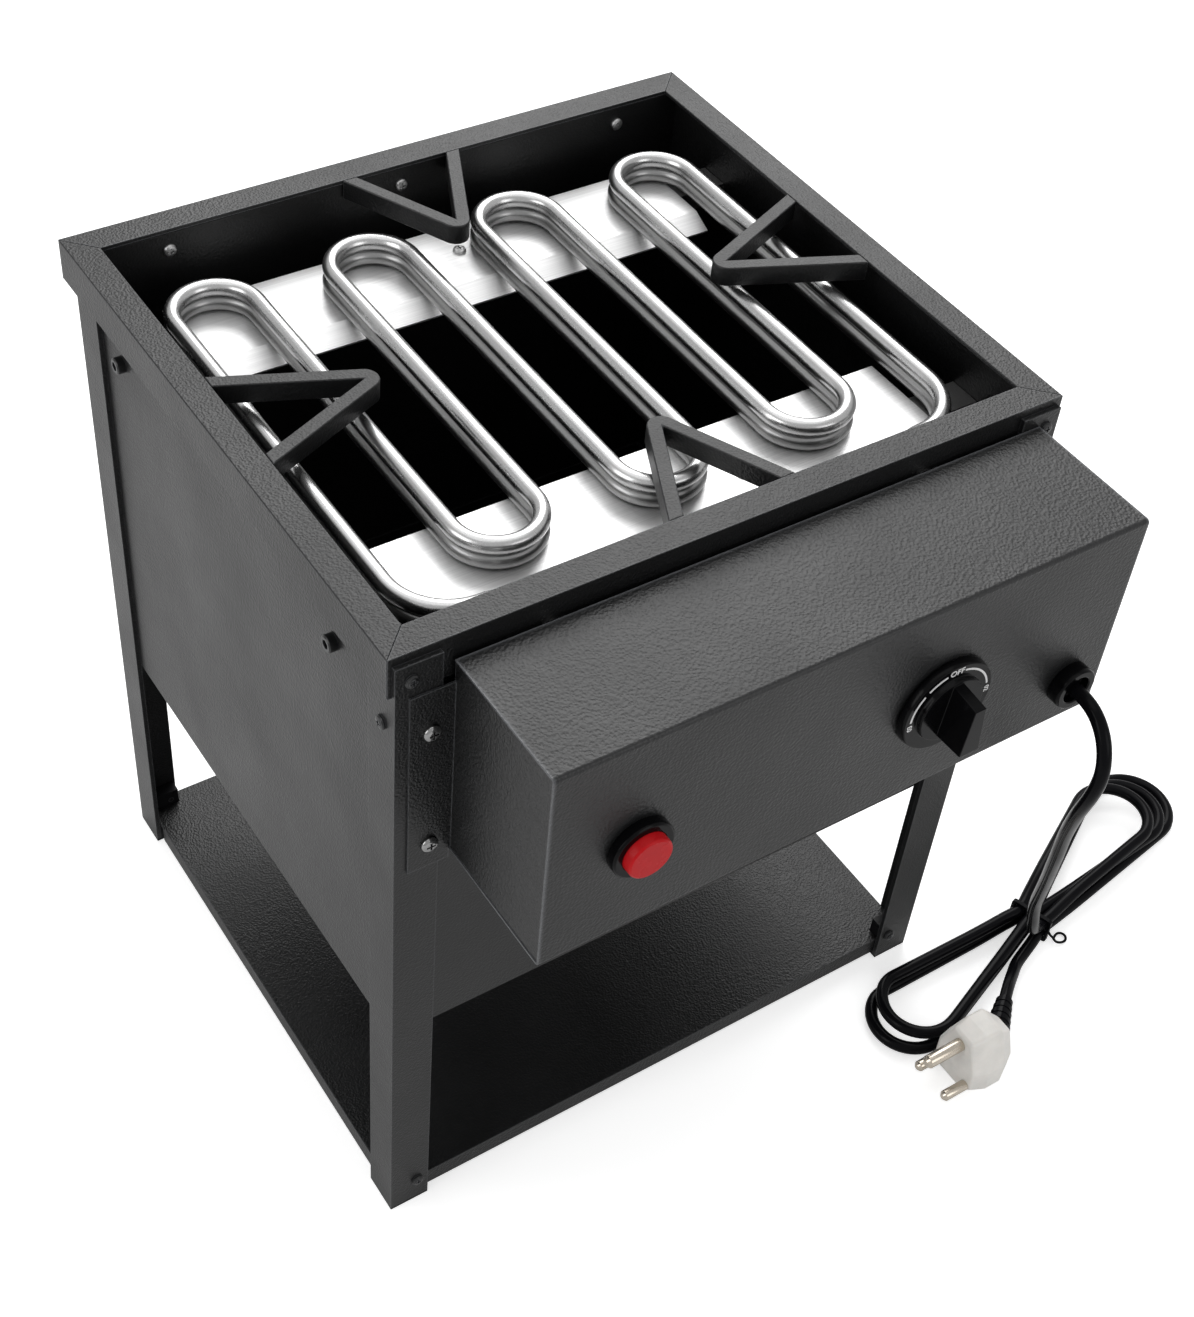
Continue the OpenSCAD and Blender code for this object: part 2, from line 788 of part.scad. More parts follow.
// Two oval plates that hold the tube ends to the front panel, with a screw on each side
flange_hole_dx = 13;
seat_t = 1.5;
seat_w = 36;
seat_h = 26;
seat_r = 5;
module element_flanges() {
    mid_z = lower_z + tube_r;
    color("#8d8f92") stand_frame() both_sides() translate([exit_x, front_in_y, mid_z]) {
        difference() {
            face_back() linear_extrude(seat_t) rounded_rect(seat_w, seat_h, seat_r);
            for (s = [-1, 1]) bar_y(0, s * tube_r, -1, 3, tube_r + 0.03);
            for (s = [-1, 1]) bar_y(s * flange_hole_dx, 0, -1, 3, m4_r);
        }
        for (s = [-1, 1]) translate([s * flange_hole_dx, seat_t, 0]) face_back()
            pan_screw(m4_r, seat_t + sheet_t);
    }
}

// White ceramic bushes on the tube ends
bush_r = 4.2;
bush_len = 7;
stud_r = 2;
stud_len = 14;
stud_nut_t = 2.4;
module element_bushes() {
    color("#eceae2") stand_frame() both_sides() for (z = [upper_z, lower_z]) difference() {
        bar_y(exit_x, z, tube_end_y - bush_len, tube_end_y, bush_r);
        bar_y(exit_x, z, tube_end_y - bush_len - 1, tube_end_y + 1, stud_r);
    }
}

module element_studs() {
    color("#c0a560") stand_frame() both_sides() for (z = [upper_z, lower_z]) {
        bar_y(exit_x, z, tube_end_y - stud_len, tube_end_y, stud_r);
        translate([exit_x, tube_end_y - bush_len, z]) face_front() hex_nut(stud_r, stud_nut_t);
        // strap that joins the upper and the lower tube
        block([exit_x - 3, tube_end_y - bush_len - stud_nut_t - 1, lower_z - 3],
            [exit_x + 3, tube_end_y - bush_len - stud_nut_t, upper_z + 3]);
    }
}

// ---- control box ----

// Cross-section of the folded sheet: lid, front and bottom in one piece, open at the back
module wrap_profile() {
    extra = 10;
    w = box_d + extra;
    difference() {
        translate([w / 2, 0]) rounded_rect(w, box_h, fold_r);
        translate([w / 2 + sheet_t, 0]) rounded_rect(w, box_h - 2 * sheet_t, fold_r - sheet_t);
        translate([box_d - gap, -box_h]) square([2 * extra, 2 * box_h]);
    }
}

module box_shell() {
    mid_z = box_low + box_h / 2;
    color("#2b2c30") stand_frame() difference() {
        translate([-box_left, box_front_y, mid_z]) rotate([90, 0, 90])
            linear_extrude(box_left + box_right) wrap_profile();
        bar_y(-button_x, button_z, box_front_y - 1, box_front_y + sheet_t + 1, barrel_hole_r);
        bar_y(knob_x, knob_z, box_front_y - 1, box_front_y + sheet_t + 1, switch_hole_r);
        for (s = [-1, 1]) {
            bar_y(knob_x + s * switch_screw_dx, knob_z, box_front_y - 1, box_front_y + sheet_t + 1, m4_hole);
        }
        bar_y(gland_x, gland_z, box_front_y - 1, box_front_y + sheet_t + 1, gland_thread_d / 2 + 0.1);
        for (x = block_screw_x) translate([x, block_y, box_low - 1]) cylinder(r = m4_r, h = 4);
    }
}

// An end plate that fits inside the folded sheet, drawn with its outer face on x = 0 and the
// box towards +x; its mounting flange turns outwards by w, against the leg
end_inset = 0.6;
module end_plate(w, screw) {
    reach = box_d - sheet_t - gap;
    tall = box_h - 2 * sheet_t - 2 * gap;
    translate([end_inset, box_back_y - reach / 2, box_low + box_h / 2]) rotate([90, 0, 90])
        linear_extrude(sheet_t) rounded_rect(reach, tall, fold_r - sheet_t);
    difference() {
        block([-w, box_back_y - sheet_t, flange_z0], [end_inset + sheet_t, box_back_y, flange_z1]);
        for (z = box_screw_z) bar_y(-screw, z, box_back_y - 5, box_back_y + 1, m5_r + 0.2);
        // the flange leaves the folded sheet free where it runs over it
        block([-gap, box_back_y - sheet_t - 1, 0], [end_inset + sheet_t + 1, box_back_y + 1, box_low + sheet_t + gap]);
    }
}

module box_end_left() {
    color("#3c3d42") stand_frame() translate([-box_left, 0, 0]) end_plate(flange_w, -box_left - box_screw_x[0]);
}

module box_end_right() {
    color("#3c3d42") stand_frame() translate([box_right, 0, 0]) mirror([1, 0, 0])
        end_plate(flange_right_w, box_screw_x[1] - box_right);
}

module box_back() {
    inner = end_inset + sheet_t + gap;
    color("#1d1e20") stand_frame() difference() {
        block([-box_left + inner, box_back_y - sheet_t, box_low + sheet_t + gap],
            [box_right - inner, box_back_y, box_top - sheet_t - gap]);
        both_sides() block([exit_x - slot_w / 2, box_back_y - 5, slot_z0], [exit_x + slot_w / 2, box_back_y + 1, slot_z1]);
    }
}

// ---- rotary switch ----

// Switch block behind the panel, with a bore for the shaft and two tapped holes
module switch_body() {
    y0 = box_front_y + sheet_t;
    color("#e6e0d0") stand_frame() difference() {
        union() {
            block([knob_x - switch_size / 2, y0, knob_z - switch_size / 2],
                [knob_x + switch_size / 2, y0 + switch_depth, knob_z + switch_size / 2]);
            bar_y(knob_x, knob_z, box_front_y, y0 + 1, switch_hole_r - 0.2);
        }
        bar_y(knob_x, knob_z, box_front_y - 1, y0 + switch_depth - 5, shaft_d / 2 + shaft_gap);
        for (s = [-1, 1]) bar_y(knob_x + s * switch_screw_dx, knob_z, y0 - 1, y0 + 8, m4_r);
    }
}

// Screws of the switch, under the knob, and of the terminal block on the box's floor
module switch_screws() {
    color("#9a9c9f") stand_frame() {
        for (s = [-1, 1]) translate([knob_x + s * switch_screw_dx, box_front_y, knob_z])
            face_front() pan_screw(m4_r, 8);
        for (x = block_screw_x) translate([x, block_y, block_z + block_base])
            pan_screw(m4_r, block_base + sheet_t);
    }
}

module switch_shaft() {
    color("#9a9c9f") stand_frame()
        bar_y(knob_x, knob_z, box_front_y - shaft_out, box_front_y + sheet_t + switch_depth - 5.5, shaft_d / 2);
}

// Knob: a skirt, a raised hub and a tapered bar grip whose pointed end shows the setting
shaft_out = 16;
knob_bore = shaft_out + 0.3;
hub_lift = 3;
grip_low = 15.5;
grip_top = 18.5;
grip_top_front = 16;
grip_half_low = 6.3;
grip_half_top = 3.2;
module knob() {
    face = skirt_t + skirt_lift - 0.3;
    color("#151517") stand_frame() translate([knob_x, box_front_y, knob_z]) difference() {
        union() {
            face_front() rotate_extrude() polygon([
                [0, skirt_lift], [knob_d / 2, skirt_lift], [knob_d / 2, skirt_lift + 1.2],
                [knob_d / 2 - 0.9, face], [hub_d / 2, face], [hub_d / 2 - 0.6, face + hub_lift],
                [0, face + hub_lift]
            ]);
            // grip: its side view cut by its front view
            intersection() {
                rotate([90, 0, 0]) linear_extrude(knob_front) polygon([
                    [-grip_half_low, -grip_low], [grip_half_low, -grip_low],
                    [grip_half_top, grip_top], [-grip_half_top, grip_top]
                ]);
                rotate([90, 0, -90]) translate([0, 0, -10]) linear_extrude(20) polygon([
                    [skirt_lift + 1, -grip_low], [knob_front, -grip_low + 0.8],
                    [knob_front, grip_top_front], [face + 0.5, grip_top], [skirt_lift + 1, grip_top]
                ]);
            }
        }
        // hollow that clears the switch screws, and the shaft's bore
        bar_y(0, 0, -skirt_lift - 2.4, 1, 20);
        bar_y(0, 0, -knob_bore, 1, shaft_d / 2);
    }
}

// White lines round the skirt, on both sides of the top mark
mark_r = 24.2;
mark_w = 1.1;
mark_t = 0.25;
// Start and length of each line in degrees, counted anticlockwise from the right
mark_arcs = [[104, 28], [139, 40], [13, 64]];
module knob_marks() {
    face = skirt_t + skirt_lift - 0.3;
    color("white") stand_frame() translate([knob_x, box_front_y - face, knob_z]) face_front()
        for (arc = mark_arcs) rotate([0, 0, arc[0]]) rotate_extrude(angle = arc[1])
            translate([mark_r - mark_w / 2, 0]) square([mark_w, mark_t]);
}

// ---- push button ----

module button_bezel() {
    inner = cap_d / 2 + cap_gap;
    color("#111113") stand_frame() translate([-button_x, box_front_y, button_z]) face_front()
        rotate_extrude() polygon([
            [inner, bezel_t], [bezel_d / 2 - 1, bezel_t], [bezel_d / 2, bezel_t - 1], [bezel_d / 2, 0],
            [barrel_d / 2, 0], [barrel_d / 2, -barrel_back], [stem_d / 2 + cap_gap, -barrel_back],
            [stem_d / 2 + cap_gap, -barrel_back + 1.5], [inner, -barrel_back + 1.5]
        ]);
}

module button_nut() {
    color("#1c1c1e") stand_frame() translate([-button_x, box_front_y + sheet_t, button_z]) face_back()
        difference() {
            cylinder(r = barrel_d / 2 + 5, h = 4.5, $fn = 6);
            translate([0, 0, -1]) cylinder(r = barrel_d / 2, h = 7);
        }
}

// Contact block behind the barrel, with a cavity for the stem and two spade tabs
module button_contact() {
    color("#2b3a66") stand_frame() translate([-button_x, box_front_y + barrel_back, button_z]) {
        difference() {
            block([-14, 0, -12], [14, contact_len, 12]);
            bar_y(0, 0, -1, 13, contact_cavity_d / 2);
        }
        for (x = [-7, 7]) {
            block([x - 0.4, contact_len - 1, -3.2], [x + 0.4, contact_len + tab_len, 3.2]);
        }
    }
}

module button_cap() {
    r = cap_d / 2;
    front = bezel_t + cap_out;
    color("#d81820") stand_frame() translate([-button_x, box_front_y, button_z]) {
        face_front() rotate_extrude() polygon([
            [0, front], [r - 1.2, front], [r - 0.4, front - 0.4], [r, front - 1.2], [r, -cap_back],
            [stem_d / 2, -cap_back], [stem_d / 2, -barrel_back - gap],
            [collar_d / 2, -barrel_back - gap], [collar_d / 2, -barrel_back - 2],
            [stem_d / 2, -barrel_back - 2], [stem_d / 2, -barrel_back - 7], [0, -barrel_back - 7]
        ]);
    }
}

// ---- wiring inside the box ----

block_in = 34;
block_y = box_front_y + block_in;
block_x = gland_x - 45;
block_half = 34;
block_screw_x = [block_x - 30, block_x + 30];
block_z = box_low + sheet_t;
block_base = 6;
module terminal_block() {
    color("#f0eee6") stand_frame() difference() {
        union() {
            block([block_x - block_half, block_y - 9, block_z],
                [block_x + block_half, block_y + 9, block_z + block_base]);
            block([block_x - 26, block_y - 8, block_z + 5], [block_x + 26, block_y + 8, block_z + 18]);
        }
        for (x = [-15, 0, 15]) bar_y(block_x + x, block_z + 11, block_y - 20, block_y + 20, wire_r);
        for (x = block_screw_x) translate([x, block_y, block_z - 1]) cylinder(r = m4_hole, h = block_base + 2);
    }
}

// The sheathed end of the lead inside the box, and the wires to the switch, the button and
// the element
wire_r = 1.5;
sheath_in = 20;
wire_out = 32;
wire_in = 30;
wire_back = 14;
module wiring() {
    zt = block_z + 11;
    yb = block_y - 8;
    yr = block_y + 8;
    sw_y = box_front_y + sheet_t + switch_depth;
    tab_y = box_front_y + barrel_back + contact_len + tab_len;
    tip_y = tube_end_y - stud_len;
    sheath_y = box_front_y + sheath_in;
    color("#7c2d26") stand_frame() {
        bar_y(gland_x, gland_z, gland_mouth_y, sheath_y, cord_d / 2);
        // lead to terminal block
        for (i = [-1, 0, 1]) swept_tube(soften([
            [gland_x + i * 2.2, sheath_y - 4, gland_z],
            [gland_x + i * 2.2, sheath_y + 4, gland_z],
            [gland_x - 6 + i * 6, sheath_y + 14, gland_z + 8],
            [block_x + 30 + i * 8, sheath_y + 24, gland_z + 6],
            [block_x + 18 + i * 15, yr + 16, zt + 4],
            [block_x + i * 15, yr + 10, zt],
            [block_x + i * 15, yr - 6, zt]
        ]), wire_r, 6);
        // terminal block to switch
        for (i = [-1, 0, 1]) swept_tube(soften([
            [block_x + i * 15, yb + 6, zt], [block_x + i * 15, yb - 5, zt],
            [block_x + i * 15 - 6, yb - 9, zt + 14], [knob_x + 40 + i * 8, yb + 4, max(knob_z - 18, zt + 20)],
            [knob_x + 28 + i * 6, sw_y + 9, knob_z - 6 + i * 8],
            [knob_x + i * 12, sw_y + 9, knob_z + i * 9], [knob_x + i * 12, sw_y, knob_z + i * 9]
        ]), wire_r, 6);
        // switch to push button
        for (i = [0, 1]) swept_tube(soften([
            [knob_x - 14 + i * 8, sw_y, knob_z - 17], [knob_x - 14 + i * 8, sw_y + 7, knob_z - 17],
            [knob_x - wire_out, sw_y + wire_back, knob_z - 14 + i * 5],
            [knob_x - 2 * wire_out, sw_y + wire_back + 2, knob_z - 6 + i * 5],
            [-button_x + 2 * wire_in, sw_y + wire_back + 4 - i * 4, knob_z - 2 + i * 5],
            [-button_x + wire_in / 2, tab_y + wire_back - i * 7, button_z + 1],
            [-button_x - 7 + i * 14, tab_y + 12 - i * 6, button_z], [-button_x - 7 + i * 14, tab_y, button_z]
        ]), wire_r, 6);
        // switch to heating element
        for (s = [-1, 1]) swept_tube(soften([
            [knob_x + s * 14, sw_y, knob_z + 16], [knob_x + s * 14, sw_y + 6, knob_z + 16],
            [knob_x + s * 18, sw_y + 10, knob_z + 26], [knob_x + s * 30, tip_y - 8, upper_z - 12],
            [s * exit_x - s * 14, tip_y - 10, upper_z - 4], [s * exit_x, tip_y - 9, upper_z],
            [s * exit_x, tip_y, upper_z]
        ]), wire_r, 6);
    }
}

// ---- cable gland ----

module gland() {
    b = gland_bore_d / 2;
    r = gland_d / 2;
    color("#131315") stand_frame() translate([gland_x, box_front_y, gland_z]) face_front()
        rotate_extrude() polygon([
            [b, gland_len - gland_recess], [r - gland_wall, gland_len - gland_recess],
            [r - gland_wall, gland_len - 0.6], [r - gland_wall + 0.6, gland_len],
            [r - 1, gland_len], [r - 0.3, gland_len - 0.3], [r, gland_len - 1], [r, 0],
            [gland_thread_d / 2, 0], [gland_thread_d / 2, -gland_back], [b, -gland_back]
        ]);
}

module gland_nut() {
    color("#1c1c1e") stand_frame() translate([gland_x, box_front_y + sheet_t, gland_z]) face_back()
        difference() {
            cylinder(r = gland_thread_d / 2 + 4, h = 5, $fn = 6);
            translate([0, 0, -1]) cylinder(r = gland_thread_d / 2, h = 7);
        }
}

// ---- screws ----

// Upper corners: leg, front rail and front panel
module corner_screws() {
    color("#1b1b1d") stand_frame() both_sides() {
        translate([corner_x, leg_front_y, corner_z]) face_front()
            pan_screw(m4_r, leg_t + rail_t + sheet_t + nut_t + 1);
        translate([corner_x, front_in_y, corner_z]) face_back() hex_nut(m4_r, nut_t);
    }
}

// Front legs to side panels, with a low head outside and a nut inside
module side_screws() {
    y = -y_out + side_screw_y;
    color("#1b1b1d") stand_frame() both_sides() {
        translate([wall_x, y, side_screw_z]) face_right() pan_screw(m4_r, leg_t + sheet_t + nut_t + 1);
        translate([panel_in_x, y, side_screw_z]) face_left() hex_nut(m4_r, nut_t);
    }
}

module foot_screws() {
    color("#1b1b1d") stand_frame() both_sides() {
        translate([foot_screw_x, leg_front_y, foot_screw_z]) face_front() pan_screw(m4_r, leg_t + post_y);
        translate([foot_screw_x, leg_rear_y, foot_screw_z]) face_back() pan_screw(m4_r, leg_t + post_y);
    }
}

// Side panels to cross bars
module cross_screws() {
    color("#1b1b1d") stand_frame() both_sides() for (y = [cross_rear_y, -cross_front_y]) {
        translate([panel_x, y, cross_screw_z]) face_right()
            cap_screw(m4_r, 2 * sheet_t + gap + nut_t + 1);
        translate([panel_in_x - gap - sheet_t, y, cross_screw_z]) face_left() hex_nut(m4_r, nut_t);
    }
}

back_screw_l = 10;
module back_screws() {
    color("#8d8f92") stand_frame() for (x = back_screw_x) {
        translate([x, back_in_y, back_screw_z]) face_front() pan_screw(m4_r, back_screw_l);
    }
}

module plate_screws() {
    color("#55575a") stand_frame() {
        for (x = rear_screw_x) translate([x, cross_rear_y, plate_top]) pan_screw(m4_r, 2 * sheet_t + 1.5);
        for (x = front_screw_x) translate([x, -cross_front_y, plate_top]) pan_screw(m4_r, 2 * sheet_t + 1.5);
    }
}

// Bright screws that hold the control box's flanges to the front legs
module box_screws() {
    color("#d8dadc") stand_frame() for (x = box_screw_x, z = box_screw_z) {
        translate([x, box_back_y - sheet_t, z]) face_front() pan_screw(m5_r, sheet_t + leg_t + 1);
    }
}

// ---- mains lead ----

module cord_lead() {
    color("#0e0e10") lead_frame() swept_tube(lead_route, cord_d / 2, 10);
}

module cord_tail() {
    color("#0e0e10") lead_frame() swept_tube(tail_route, cord_d / 2, 10);
}

// Outer shape of the tied hank: two lobes that meet at a waist, with a groove for the tie
module cord_hank() {
    color("#0e0e10") lead_frame() difference() {
        linear_extrude(hank_h) {
            hull() {
                translate(hank_far) circle(r = hank_far_r);
                translate(hank_waist) circle(r = waist_r);
            }
            hull() {
                translate(hank_near) circle(r = hank_near_r);
                translate(hank_waist) circle(r = waist_r);
            }
        }
        translate([hank_waist[0], hank_waist[1], 0]) rotate([0, 0, hank_turn]) difference() {
            block([-tie_w / 2, -2 * waist_r, -1], [tie_w / 2, 2 * waist_r, hank_h + 1]);
            block([-tie_w, -waist_r, tie_t], [tie_w, waist_r, tie_t + bundle_h]);
        }
    }
}

module cord_tie() {
    inner_w = 2 * waist_r;
    color("#1a1a1c") lead_frame() translate([hank_waist[0], hank_waist[1], tie_t + bundle_h / 2])
        rotate([0, 0, hank_turn]) rotate([90, 0, 90]) translate([0, 0, -tie_w / 2])
        linear_extrude(tie_w) difference() {
            rounded_rect(inner_w + 2 * tie_t, bundle_h + 2 * tie_t, tie_t);
            square([inner_w, bundle_h], center = true);
        }
}

// ---- plug ----

// Outline of the plug, seen along its pins: flat below, narrower at the earth pin's end
module plug_outline(s) {
    w = plug_w / 2 * s;
    translate([0, plug_h / 2 * (1 - s)]) polygon([
        [-w, 9 * s], [-w + 7 * s, 0], [w - 7 * s, 0], [w, 9 * s], [w, plug_h * 0.5 * s],
        [w * 0.5, plug_h * s], [-w * 0.5, plug_h * s], [-w, plug_h * 0.5 * s]
    ]);
}

// The plug grows from the pin face to its middle, and is tapered behind, flat on its underside
module plug_body() {
    color("#e9e4d8") lead_frame() translate([plug_x0, plug_y, 0]) hull() {
        rotate([90, 0, 90]) linear_extrude(0.5) translate([0, 1.5]) plug_outline(0.86);
        translate([12, 0, 0]) rotate([90, 0, 90]) linear_extrude(12) plug_outline(1);
        translate([plug_len - 0.5, 0, -4]) rotate([90, 0, 90]) linear_extrude(0.5) plug_outline(0.62);
    }
}

// A round pin with a rounded tip, from the plug's face towards -x
module plug_pin(y, z, d, length) {
    translate([plug_x0, plug_y + y, z]) face_left() {
        cylinder(d = d, h = length - d / 4);
        translate([0, 0, length - d / 4]) cylinder(d1 = d, d2 = d / 2, h = d / 4);
    }
}

module plug_pins() {
    color("#b9a36c") lead_frame() {
        plug_pin(0, pin_low_z + pin_rise, earth_pin_d, earth_pin_l);
        for (s = [-1, 1]) plug_pin(s * pin_half, pin_low_z, line_pin_d, line_pin_l);
    }
}

// Ribbed, tapered sleeve where the lead leaves the plug
module plug_relief() {
    d = unit(relief_dir);
    turn = atan2(d[1], d[0]);
    tilt = acos(d[2]);
    root = 8;
    tip = 5.6;
    ribs = 5;
    step = relief_len / ribs;
    color("#121214") lead_frame() translate(relief_at) rotate([0, tilt, turn]) {
        translate([0, 0, -3]) cylinder(r = root - 1.2, h = 3.01);
        for (i = [0:ribs - 1]) {
            r = root + (tip - root) * i / (ribs - 1);
            translate([0, 0, i * step]) cylinder(r = r, h = step * 0.62);
            translate([0, 0, i * step]) cylinder(r = r - 1.1, h = step);
        }
    }
}

// ---- output ----

rail_front();
rail_rear();
rail_left();
rail_right();
support_front();
support_rear();
support_left();
support_right();
leg_front_left();
leg_front_right();
leg_rear_left();
leg_rear_right();
feet();
side_panel_left();
side_panel_right();
back_panel();
front_panel();
floor_pan();
shelf();
cross_bar_rear();
cross_bar_front();
plate_rear();
plate_front();
element_upper();
element_lower();
element_flanges();
element_bushes();
element_studs();
box_shell();
box_end_left();
box_end_right();
box_back();
switch_body();
switch_screws();
switch_shaft();
knob();
knob_marks();
button_bezel();
button_nut();
button_contact();
button_cap();
terminal_block();
wiring();
gland();
gland_nut();
corner_screws();
side_screws();
foot_screws();
cross_screws();
back_screws();
plate_screws();
box_screws();
cord_lead();
cord_hank();
cord_tail();
cord_tie();
plug_relief();
plug_body();
plug_pins();
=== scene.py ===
# Hot plate burner on a tall stand: looks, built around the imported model. Lengths in metres.
import json
import math

import bpy
from mathutils import Matrix, Vector


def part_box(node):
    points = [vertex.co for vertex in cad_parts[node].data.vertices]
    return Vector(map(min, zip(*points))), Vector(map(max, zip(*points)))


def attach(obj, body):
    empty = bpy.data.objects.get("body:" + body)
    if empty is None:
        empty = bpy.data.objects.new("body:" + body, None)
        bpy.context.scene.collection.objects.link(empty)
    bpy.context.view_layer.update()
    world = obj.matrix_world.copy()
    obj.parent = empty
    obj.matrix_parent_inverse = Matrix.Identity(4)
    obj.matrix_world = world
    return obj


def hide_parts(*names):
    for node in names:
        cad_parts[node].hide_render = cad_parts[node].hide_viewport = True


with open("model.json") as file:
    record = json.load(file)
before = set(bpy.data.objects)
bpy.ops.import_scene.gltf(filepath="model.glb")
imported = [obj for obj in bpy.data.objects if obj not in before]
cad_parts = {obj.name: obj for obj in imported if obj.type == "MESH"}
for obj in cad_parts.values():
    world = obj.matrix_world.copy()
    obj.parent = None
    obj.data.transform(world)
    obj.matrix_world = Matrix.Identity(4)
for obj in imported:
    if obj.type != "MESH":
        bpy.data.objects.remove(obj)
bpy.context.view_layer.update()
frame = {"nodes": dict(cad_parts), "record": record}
NODES = frame["nodes"]
MM = 0.001
CENTRE_Y = 0.05625            # the stand's own middle, in front of which the box hangs


def P(x, y, z):
    """A point given in millimetres about the middle of the top frame."""
    return Vector((x * MM, y * MM + CENTRE_Y, z * MM))


# ---------------------------------------------------------------- camera
cam_data = bpy.data.cameras.new("camera")
cam = bpy.data.objects.new("camera", cam_data)
bpy.context.scene.collection.objects.link(cam)
bpy.context.scene.camera = cam
CAM_AT = (-511.6, -738.3, 1120.0)
CAM_AZ, CAM_EL, CAM_ROLL = -37.38, 45.25, 6.049   # degrees
FRAME_H = 1317.0              # pixels
FOCAL = 2081.0                # in the same pixels
SENSOR = 36.0
az, el, roll = (math.radians(a) for a in (CAM_AZ, CAM_EL, CAM_ROLL))
back = Vector((math.sin(az) * math.cos(el), -math.cos(az) * math.cos(el), math.sin(el)))
right = Vector((0, 0, 1)).cross(back).normalized()
up = back.cross(right)
cr, sr = math.cos(roll), math.sin(roll)
right, up = right * cr + up * sr, up * cr - right * sr
turn = Matrix((right, up, back)).transposed().to_4x4()
cam.matrix_world = Matrix.Translation(P(*CAM_AT)) @ turn
cam_data.sensor_width = SENSOR
cam_data.lens = FOCAL * SENSOR / FRAME_H
cam_data.clip_start = 0.05
bpy.context.scene.view_settings.view_transform = "Standard"


# ---------------------------------------------------------------- cords
def smooth_path(points, step):
    """Catmull-Rom curve through points, sampled every step millimetres or so."""
    pts = [Vector(p) for p in points]
    out = []
    for i in range(len(pts) - 1):
        p0 = pts[max(i - 1, 0)]
        p1, p2 = pts[i], pts[i + 1]
        p3 = pts[min(i + 2, len(pts) - 1)]
        n = max(1, int((p2 - p1).length / step + 0.5))
        for k in range(n):
            t = k / n
            out.append(0.5 * ((2 * p1) + (p2 - p0) * t + (2 * p0 - 5 * p1 + 4 * p2 - p3) * t * t
                              + (3 * p1 - p0 - 3 * p2 + p3) * t ** 3))
    out.append(pts[-1])
    return out


CORD_D = 8.3                  # the lead's diameter, mm
SETTLE = 42                   # how far from the waist a run takes to reach its lying height, mm
LEAD = [
    (159.5, -275, 351.6), (159.5, -279, 351.6), (159.2, -286.3, 350.8), (158.2, -294.3, 347.8),
    (156.8, -301.6, 342.5), (155.2, -307, 335.4), (153.9, -310.4, 327), (153.2, -311.3, 318),
    (153.6, -309.8, 307), (155.6, -306.4, 294.5), (159.4, -301.8, 280.5), (164.6, -297, 266),
    (170.3, -292.2, 251), (176.5, -287.5, 235), (183, -283, 218), (189.5, -278.5, 200),
    (196.5, -273.5, 182), (204, -268.3, 164), (211.5, -263, 146), (219, -257.5, 128),
    (226.5, -252, 110), (234, -246.6, 92), (241, -243, 73), (248, -240.5, 55),
    (256, -236.8, 39.5), (264.5, -231.8, 28), (273.5, -228, 19),
]
TAIL = [
    (251, -237.5, 5.2), (241, -244, 9), (231, -250.5, 14.6), (222, -256.8, 19),
    (213.7, -263, 21.1),
]
WAIST = Vector((279, -217, 0))
HANK_TURN = math.radians(17.8)
U = Vector((math.cos(HANK_TURN), math.sin(HANK_TURN), 0))
V = Vector((-math.sin(HANK_TURN), math.cos(HANK_TURN), 0))


def H(u, v, z):
    """A point of the hank: u along it, v across it, from its waist."""
    w = WAIST + U * u + V * v
    return (w.x, w.y, z)


def ease(t):
    """0 to 1 with flat ends."""
    t = max(0.0, min(1.0, t))
    return t * t * (3 - 2 * t)


def loop(side, cu, cv, r, slot_out, slot_in, z):
    """One turn of the hank on one side of its waist, as points from slot_out to slot_in.
    side is +1 or -1 along U, (cu, cv) the bend's centre, slots (v, z) at the waist."""
    pts = []
    s_out = 1 if slot_out[0] >= slot_in[0] else -1
    straight = abs(cu)
    for k in range(1, 10):
        t = k / 10
        u = straight * t
        v = slot_out[0] + (cv + s_out * r - slot_out[0]) * t
        zz = slot_out[1] + (z - slot_out[1]) * ease(u / SETTLE)
        pts.append(H(side * u, v, zz))
    n = 13
    for k in range(n + 1):
        a = math.pi * k / n
        pts.append(H(side * (straight + r * math.sin(a)), cv + s_out * r * math.cos(a), z))
    for k in range(9, 0, -1):
        t = k / 10
        u = straight * t
        v = slot_in[0] + (cv - s_out * r - slot_in[0]) * t
        zz = slot_in[1] + (z - slot_in[1]) * ease(u / SETTLE)
        pts.append(H(side * u, v, zz))
    return pts


LOW, HIGH = 6.4, 14.8         # heights of the two layers of runs at the waist
path_mm = list(LEAD[:-1])
path_mm.append(H(-5, -8.6, 17))
path_mm.append(H(0, -8.6, HIGH + 0.3))
path_mm += loop(1, 113, 1.5, 25.6, (-8.6, HIGH), (8.6, HIGH), 20.9)
path_mm.append(H(0, 8.6, HIGH))
path_mm += loop(-1, 109, 19.5, 25.2, (8.6, HIGH), (0, HIGH), 12.6)
path_mm.append(H(0, 0, HIGH))
path_mm += loop(1, 128, -0.5, 26.6, (-0.01, HIGH), (0, LOW), 12.55)
path_mm.append(H(0, 0, LOW))
path_mm += loop(-1, 118, 20.2, 25.3, (-0.01, LOW), (8.6, LOW), 4.25)
path_mm.append(H(0, 8.6, LOW))
path_mm += loop(1, 142, -0.4, 28.7, (8.6, LOW), (-8.6, LOW), 4.25)
path_mm.append(H(0, -8.6, LOW))
path_mm.append(H(-9, -9.6, 5.2))
path_mm += TAIL

dense = smooth_path(path_mm, 3.2)
